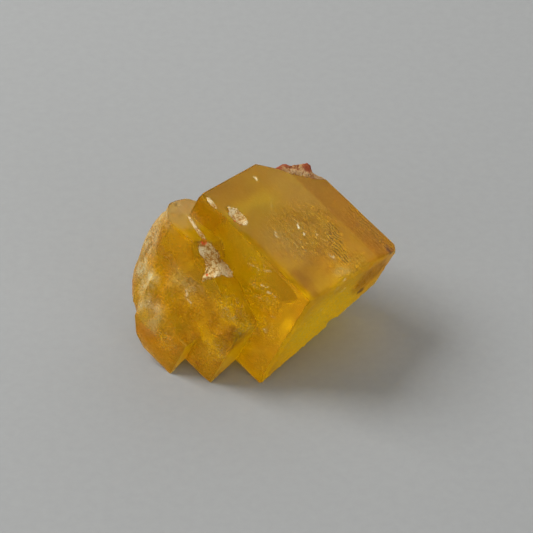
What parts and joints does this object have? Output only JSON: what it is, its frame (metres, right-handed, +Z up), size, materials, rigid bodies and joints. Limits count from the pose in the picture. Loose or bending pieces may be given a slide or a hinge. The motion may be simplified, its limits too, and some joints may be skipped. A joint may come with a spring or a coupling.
{
  "type": "fluorite crystal group",
  "caption": "Small group of golden fluorite cubes grown in parallel like steps, broken at the left and below, with pinkish mineral crusts; rests on its lower corners and a flat broken base.",
  "frame": {"origin": "middle of the flat broken face under the stump, at the level that the group rests on", "axes": "+Z up as it rests; the upper cube face's broad side and the three stepped corners face -Y, the raised overhanging edge is towards +X"},
  "size_m": [0.0311, 0.0257, 0.0199],
  "materials": {
    "golden_fluorite": "clear golden crystal with glassy growth faces, frosted and milky where broken",
    "pink_crust": "matt, granular, pinkish white with red stains",
    "white_crust": "matt, granular, white to cream with orange and purple specks"
  },
  "bodies": {
    "root": {"fluorite_crystals": "golden_fluorite", "matrix_crust": "pink_crust", "crevice_crust": "white_crust"}
  },
  "joints": []
}
